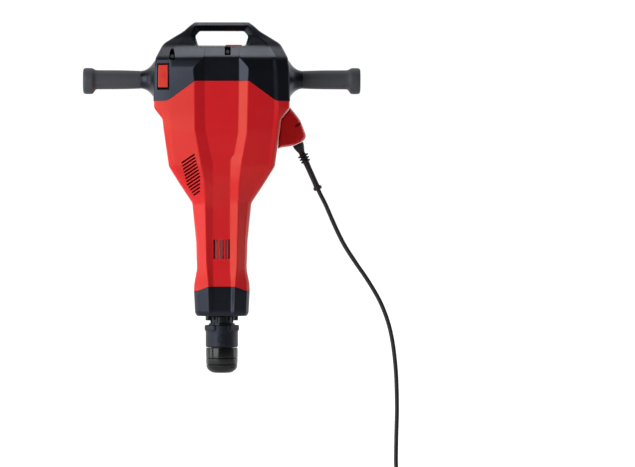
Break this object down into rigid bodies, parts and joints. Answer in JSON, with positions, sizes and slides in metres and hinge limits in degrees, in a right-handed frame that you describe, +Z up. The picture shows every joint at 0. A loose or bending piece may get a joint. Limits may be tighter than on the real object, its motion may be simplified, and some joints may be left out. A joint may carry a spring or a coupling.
{
  "type": "electric jackhammer",
  "caption": "Upright electric demolition breaker: T-handle with two grips, carry handle, tapered housing, crank drive, percussion gear, hex tool holder with locking sleeve, and mains cord.",
  "frame": {"origin": "middle of the T-handle's axis, between the two grips", "axes": "+X along the T-handle to the side with the mains cord, -Y towards the front with the switch, +Z up; the tool points down"},
  "size_m": [0.8244, 0.19, 0.9961],
  "materials": {
    "housing_red": "moulded red plastic, fine grain",
    "black_housing": "moulded dark grey plastic",
    "sleeve_black": "moulded black plastic over steel, matt",
    "cap_rubber": "smooth glossy rubber",
    "grip_rubber": "soft moulded rubber",
    "cord_rubber": "rubber sheath",
    "signal_red": "bright red plastic",
    "cast_aluminium": "die cast",
    "copper": "enamelled copper wire",
    "brass": "brass",
    "steel": "machined steel"
  },
  "bodies": {
    "casing": {"front_housing": "housing_red", "rear_housing": "housing_red", "nose_cover": "black_housing", "handle_housing_front": "black_housing", "handle_housing_rear": "black_housing", "handle_screw_left": "steel", "handle_screw_centre": "steel", "handle_screw_right": "steel", "indicator_panel": "signal_red", "grip_left": "grip_rubber", "grip_right": "grip_rubber", "handle_bar": "steel", "handle_bridge": "cast_aluminium", "suspension_spring_front": "steel", "suspension_spring_rear": "steel", "switch_frame": "black_housing", "switch_module": "black_housing", "control_module": "black_housing", "cord_boss": "housing_red", "strain_relief": "cord_rubber", "mains_cord": "cord_rubber", "cord_coil": "cord_rubber", "mains_plug": "cord_rubber"},
    "switch_rocker": {"switch_rocker": "signal_red"},
    "drive_unit": {"crankcase": "cast_aluminium", "gear_cover": "cast_aluminium", "motor_flange": "cast_aluminium", "motor_can": "cast_aluminium", "stator_core": "steel", "stator_winding_left": "copper", "stator_winding_right": "copper", "brush_holder_upper": "brass", "brush_holder_lower": "brass", "rotor_bearing_left": "steel", "rotor_bearing_right": "steel", "crank_bearing": "steel", "percussion_cylinder": "steel", "barrel": "cast_aluminium", "tool_holder": "steel", "dust_cap": "cap_rubber", "holder_bolt_1": "steel", "holder_bolt_2": "steel", "holder_bolt_3": "steel", "holder_bolt_4": "steel"},
    "rotor": {"rotor_shaft": "steel", "rotor_core": "steel", "commutator": "copper", "cooling_fan": "black_housing"},
    "idler": {"idler_shaft": "steel", "idler_gear": "steel"},
    "crank": {"crankshaft": "steel", "crank_gear": "steel"},
    "rod": {"connecting_rod": "steel", "wrist_pin": "steel"},
    "piston": {"drive_piston": "steel"},
    "striker": {"striker": "steel"},
    "anvil": {"anvil": "steel"},
    "sleeve": {"locking_sleeve": "sleeve_black"},
    "lock_pin_right": {"lock_pin_right": "steel"},
    "lock_pin_left": {"lock_pin_left": "steel"}
  },
  "joints": [
    {"name": "suspension_slide", "type": "slide", "parent": "casing", "child": "drive_unit", "axis": [0, 0, 1], "range_m": [0, 0.012], "stiffness_N_per_m": 9000, "springref_m": -0.01, "deforming": ["suspension_spring_front", "suspension_spring_rear"]},
    {"name": "switch_rock", "type": "hinge", "parent": "casing", "child": "switch_rocker", "pos_m": [-0.1205, -0.074, 0.005], "axis": [1, 0, 0], "range_deg": [0, 12]},
    {"name": "crank_spin", "type": "hinge", "parent": "drive_unit", "child": "crank", "pos_m": [0, 0, -0.155], "axis": [1, 0, 0], "continuous": true},
    {"name": "idler_spin", "type": "hinge", "parent": "drive_unit", "child": "idler", "pos_m": [0, 0.0204, -0.1094], "axis": [1, 0, 0], "continuous": true},
    {"name": "rotor_spin", "type": "hinge", "parent": "drive_unit", "child": "rotor", "pos_m": [0, 0, -0.075], "axis": [1, 0, 0], "continuous": true},
    {"name": "rod_swing", "type": "hinge", "parent": "crank", "child": "rod", "pos_m": [0, 0, -0.167], "axis": [1, 0, 0], "continuous": true},
    {"name": "piston_slide", "type": "slide", "parent": "drive_unit", "child": "piston", "axis": [0, 0, 1], "range_m": [0, 0.024]},
    {"name": "striker_slide", "type": "slide", "parent": "drive_unit", "child": "striker", "axis": [0, 0, 1], "range_m": [0, 0.033]},
    {"name": "anvil_slide", "type": "slide", "parent": "drive_unit", "child": "anvil", "axis": [0, 0, 1], "range_m": [0, 0.008]},
    {"name": "sleeve_slide", "type": "slide", "parent": "drive_unit", "child": "sleeve", "axis": [0, 0, 1], "range_m": [0, 0.008], "stiffness_N_per_m": 2500, "springref_m": -0.004},
    {"name": "lock_pin_right_slide", "type": "slide", "parent": "drive_unit", "child": "lock_pin_right", "axis": [1, 0, 0], "range_m": [0, 0.003]},
    {"name": "lock_pin_left_slide", "type": "slide", "parent": "drive_unit", "child": "lock_pin_left", "axis": [-1, 0, 0], "range_m": [0, 0.003]}
  ],
  "couplings": [
    {"joint": "idler_spin", "follows": "crank_spin", "ratio": -3},
    {"joint": "rotor_spin", "follows": "crank_spin", "ratio": 9},
    {"joint": "rod_swing", "follows": "crank_spin", "ratio": -1},
    {"joint": "lock_pin_right_slide", "follows": "sleeve_slide", "ratio": 0.375},
    {"joint": "lock_pin_left_slide", "follows": "sleeve_slide", "ratio": 0.375}
  ]
}
